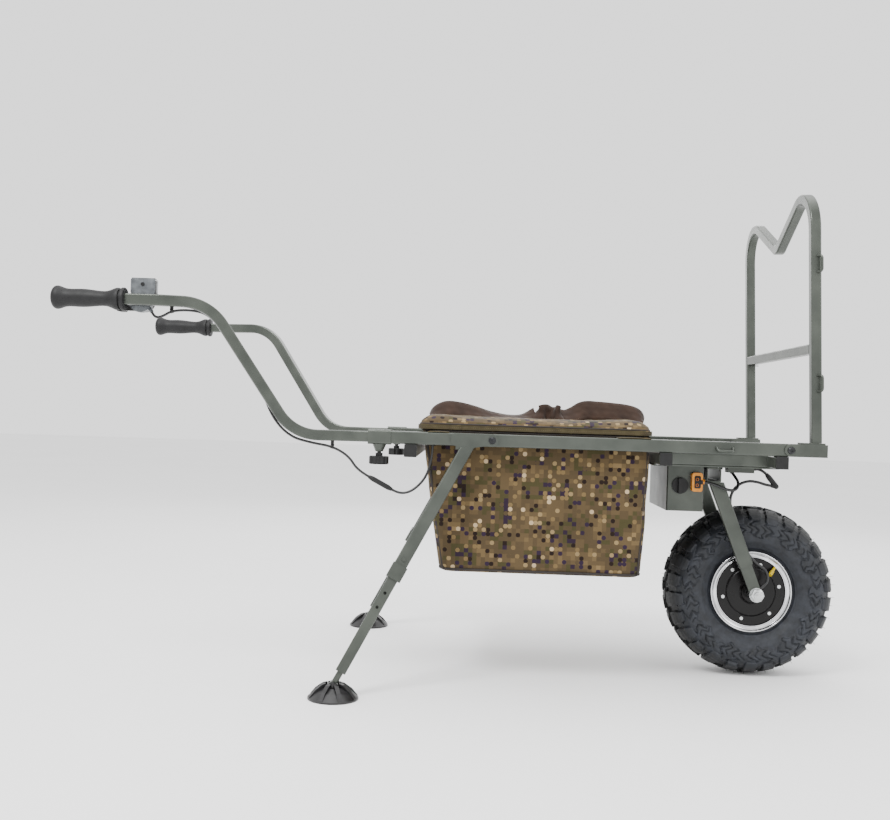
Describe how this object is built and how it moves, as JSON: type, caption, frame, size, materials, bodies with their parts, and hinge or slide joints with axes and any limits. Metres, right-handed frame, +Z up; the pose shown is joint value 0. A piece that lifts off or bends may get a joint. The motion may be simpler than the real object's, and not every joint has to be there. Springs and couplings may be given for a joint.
{
  "type": "single-wheel powered barrow",
  "caption": "Powered one-wheel field barrow: square-tube bed, raised handles with thumb throttle, hub-motor wheel, folding legs and front rack, camouflage bag slung between the rails.",
  "frame": {"origin": "on the ground below the middle of the bounding box", "axes": "+X towards the wheel, +Y to the left of a person pushing, +Z up"},
  "size_m": [1.587, 0.809, 1.0004],
  "materials": {
    "frame_powder_coat": "semi-gloss",
    "zinc_plate": "bright",
    "rim_chrome": "polished",
    "cover_paint": "gloss",
    "tyre_rubber": "matt",
    "grip_rubber": "matt",
    "foot_rubber": "satin",
    "black_plastic": "satin",
    "silver_plastic": "satin",
    "connector_plastic": "satin",
    "valve_plastic": "satin",
    "lens": "clear",
    "cable_jacket": "satin",
    "controller_casting": "satin",
    "battery_wrap": "satin",
    "copper": "bright",
    "motor_iron": "matt",
    "camo_fabric": "woven",
    "webbing": "ribbed"
  },
  "bodies": {
    "chassis": {"bed_rails": "frame_powder_coat", "handle_socket_collars": "frame_powder_coat", "cross_tubes": "frame_powder_coat", "cross_tube_caps": "black_plastic", "subframe_rails": "frame_powder_coat", "equipment_tray": "frame_powder_coat", "rail_tie_loops": "frame_powder_coat", "fork_crown": "frame_powder_coat", "fork_legs": "frame_powder_coat", "axle": "zinc_plate", "axle_nuts": "zinc_plate", "stator_core": "motor_iron", "stator_windings": "copper", "battery_box": "frame_powder_coat", "battery_pack": "battery_wrap", "motor_controller": "controller_casting", "power_connector": "connector_plastic", "charge_port": "black_plastic", "frame_bolts": "zinc_plate", "lead_grommet": "black_plastic", "lead_socket": "black_plastic", "throttle_lead_lower": "cable_jacket", "motor_lead": "cable_jacket", "motor_lead_plug": "black_plastic", "controller_lead": "cable_jacket", "battery_lead": "cable_jacket"},
    "wheel": {"rotor": "motor_iron", "rim": "rim_chrome", "tyre": "tyre_rubber", "wheel_covers": "cover_paint", "cover_screws": "zinc_plate", "wheel_bearings": "zinc_plate", "tyre_valve": "valve_plastic"},
    "right_leg": {"right_leg_upper": "frame_powder_coat"},
    "left_leg": {"left_leg_upper": "frame_powder_coat"},
    "right_leg_extension": {"right_leg_lower": "frame_powder_coat"},
    "left_leg_extension": {"left_leg_lower": "frame_powder_coat"},
    "right_foot_pad": {"right_foot": "foot_rubber"},
    "left_foot_pad": {"left_foot": "foot_rubber"},
    "front_rack": {"front_bar": "frame_powder_coat", "front_crossbar": "frame_powder_coat", "front_bar_bases": "frame_powder_coat", "post_tie_loops": "frame_powder_coat"},
    "right_handle": {"right_handle_tube": "frame_powder_coat", "right_grip": "grip_rubber", "throttle_housing": "silver_plastic", "display_lens": "lens", "throttle_lead_upper": "cable_jacket", "lead_plug": "black_plastic", "handle_clips": "black_plastic"},
    "left_handle": {"left_handle_tube": "frame_powder_coat", "left_grip": "grip_rubber"},
    "throttle_thumb": {"throttle_lever": "black_plastic"},
    "button": {"power_button": "black_plastic"},
    "right_knob": {"right_clamp_knob": "black_plastic"},
    "left_knob": {"left_clamp_knob": "black_plastic"},
    "bag": {"bag_body": "camo_fabric", "bag_hangers": "webbing"},
    "bag_cover": {"bag_lid": "camo_fabric", "bag_straps": "webbing"}
  },
  "joints": [
    {"name": "wheel_spin", "type": "hinge", "parent": "chassis", "child": "wheel", "pos_m": [0.6135, 0, 0.18], "axis": [0, 1, 0], "continuous": true},
    {"name": "right_leg_fold", "type": "hinge", "parent": "chassis", "child": "right_leg", "pos_m": [0.0485, -0.2643, 0.4885], "axis": [0, -1, 0], "range_deg": [0, 115]},
    {"name": "right_leg_length", "type": "slide", "parent": "right_leg", "child": "right_leg_extension", "axis": [-0.4556, -0.1993, -0.8676], "range_m": [-0.06, 0.06]},
    {"name": "right_foot_swivel", "type": "hinge", "parent": "right_leg_extension", "child": "right_foot_pad", "pos_m": [-0.235, -0.357, 0.026], "axis": [0, 1, 0], "range_deg": [-15, 15]},
    {"name": "right_handle_length", "type": "slide", "parent": "chassis", "child": "right_handle", "axis": [-1, 0, 0], "range_m": [0, 0.05]},
    {"name": "right_knob_turn", "type": "hinge", "parent": "chassis", "child": "right_knob", "pos_m": [-0.1725, -0.249, 0.443], "axis": [0, 0, 1], "continuous": true},
    {"name": "left_leg_fold", "type": "hinge", "parent": "chassis", "child": "left_leg", "pos_m": [0.0485, 0.2643, 0.4885], "axis": [0, -1, 0], "range_deg": [0, 115]},
    {"name": "left_leg_length", "type": "slide", "parent": "left_leg", "child": "left_leg_extension", "axis": [-0.4556, 0.1993, -0.8676], "range_m": [-0.06, 0.06]},
    {"name": "left_foot_swivel", "type": "hinge", "parent": "left_leg_extension", "child": "left_foot_pad", "pos_m": [-0.235, 0.357, 0.026], "axis": [0, 1, 0], "range_deg": [-15, 15]},
    {"name": "left_handle_length", "type": "slide", "parent": "chassis", "child": "left_handle", "axis": [-1, 0, 0], "range_m": [0, 0.05]},
    {"name": "left_knob_turn", "type": "hinge", "parent": "chassis", "child": "left_knob", "pos_m": [-0.1725, 0.249, 0.443], "axis": [0, 0, 1], "continuous": true},
    {"name": "front_rack_fold", "type": "hinge", "parent": "chassis", "child": "front_rack", "pos_m": [0.6265, 0, 0.4885], "axis": [0, 1, 0], "range_deg": [-80, 0]},
    {"name": "throttle_press", "type": "hinge", "parent": "right_handle", "child": "throttle_thumb", "pos_m": [-0.631, -0.3, 0.735], "axis": [0, 1, 0], "range_deg": [-30, 0], "stiffness_Nm_per_rad": 0.3, "springref_deg": 8.59},
    {"name": "power_press", "type": "slide", "parent": "right_handle", "child": "button", "axis": [0, 1, 0], "range_m": [0, 0.0012], "stiffness_N_per_m": 800, "springref_m": -0.0006},
    {"name": "bag_lift", "type": "slide", "parent": "chassis", "child": "bag", "axis": [0, 0, 1], "range_m": [0, 0.3]},
    {"name": "bag_cover_open", "type": "hinge", "parent": "bag", "child": "bag_cover", "pos_m": [0.134, 0.229, 0.506], "axis": [-1, 0, 0], "range_deg": [0, 95]}
  ]
}
